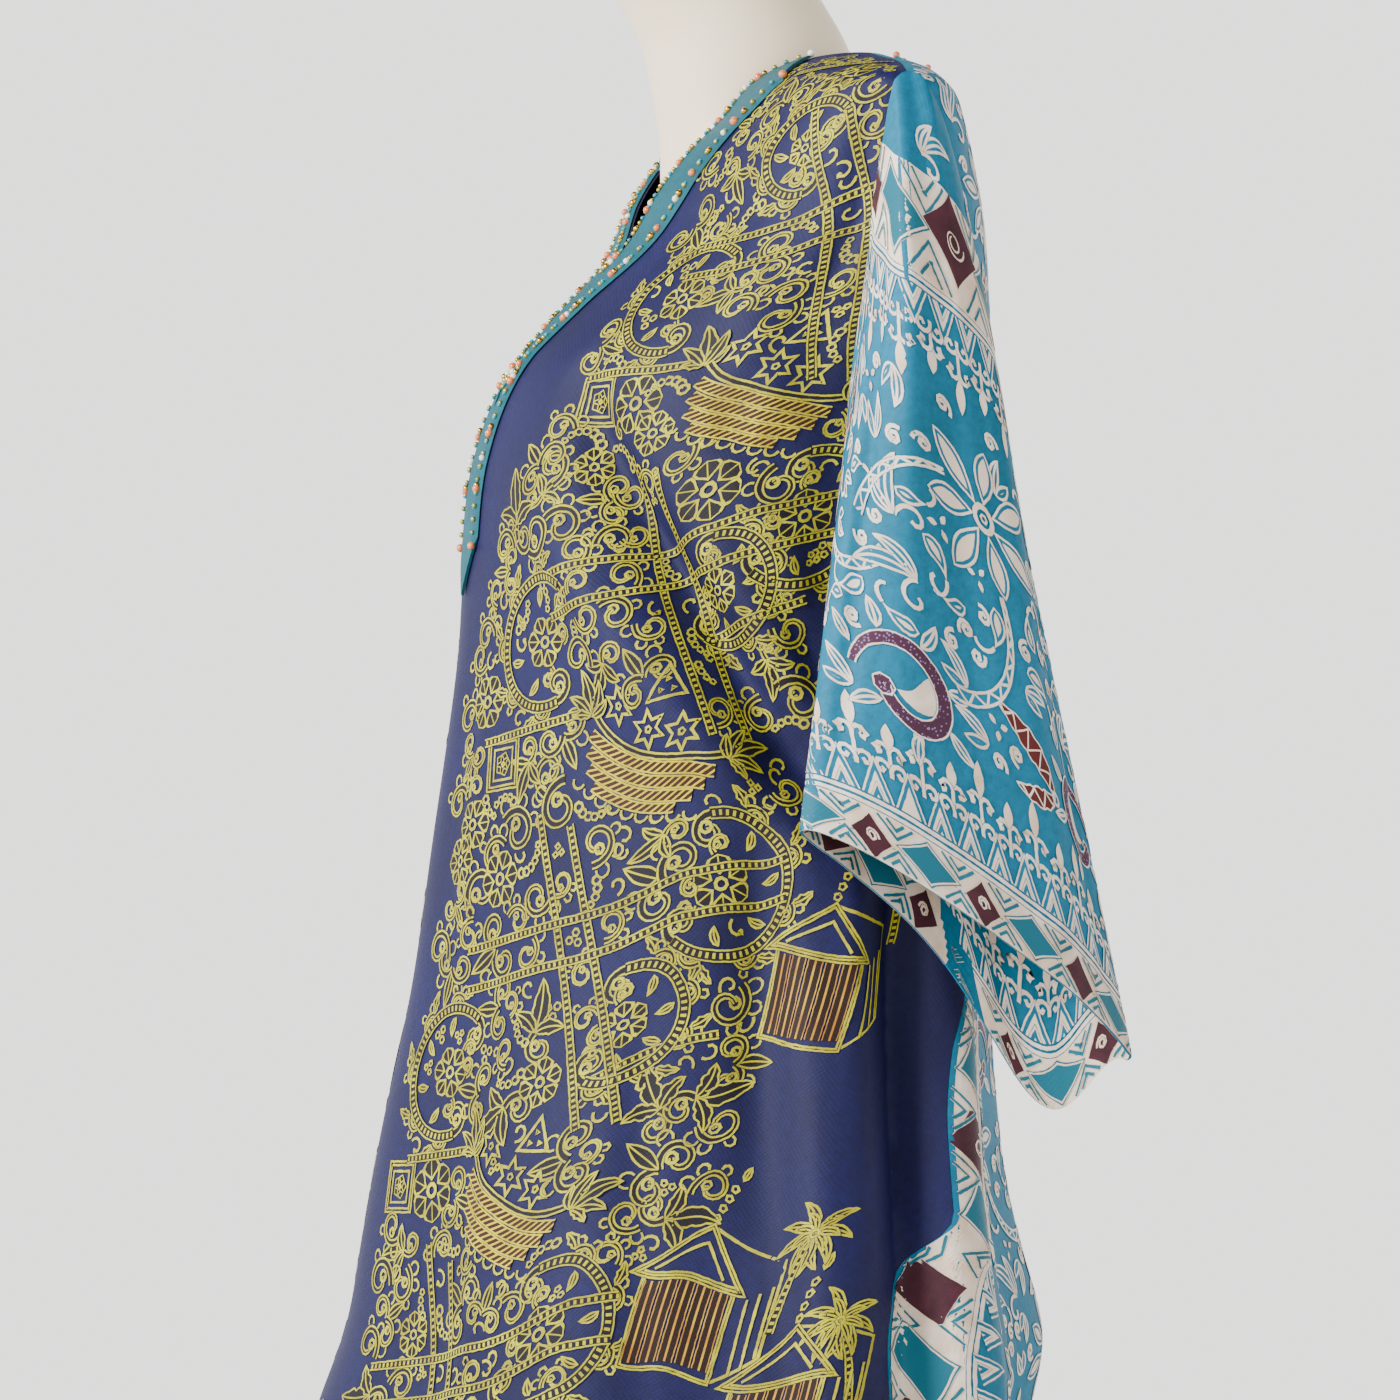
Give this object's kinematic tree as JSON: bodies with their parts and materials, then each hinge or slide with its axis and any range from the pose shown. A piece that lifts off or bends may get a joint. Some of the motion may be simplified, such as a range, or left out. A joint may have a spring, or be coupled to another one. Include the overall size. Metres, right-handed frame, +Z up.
{
  "type": "batik shirt on a limbless dress form",
  "caption": "V-neck batik kaftan shirt with wide open sleeves, beaded neckband and flared hem, worn by a limbless dress form that stands on a pole and round base.",
  "frame": {"origin": "centre of the stand base's underside", "axes": "+Z up, the shirt's front faces -Y, the wearer's left is +X"},
  "size_m": [0.5301, 0.425, 1.4563],
  "materials": {
    "navy_batik": "satin cotton batik, navy ground with yellow-green line figures",
    "turquoise_batik": "cotton batik, turquoise ground with cream line flowers and maroon figures",
    "teal_cloth": "plain woven cotton",
    "cream_shell": "smooth satin",
    "white_paint": "satin powder coat",
    "brushed_steel": "brushed"
  },
  "bodies": {
    "root": {"front_panel": "navy_batik", "back_panel": "turquoise_batik", "sleeve_left": "turquoise_batik", "sleeve_right": "turquoise_batik", "neckband_left": "teal_cloth", "neckband_right": "teal_cloth", "neckband_back": "teal_cloth", "placket": "teal_cloth", "form_torso": "cream_shell", "form_neck_cap": "cream_shell", "stand_collar": "white_paint", "stand_pole": "brushed_steel", "stand_base": "white_paint"}
  },
  "joints": []
}
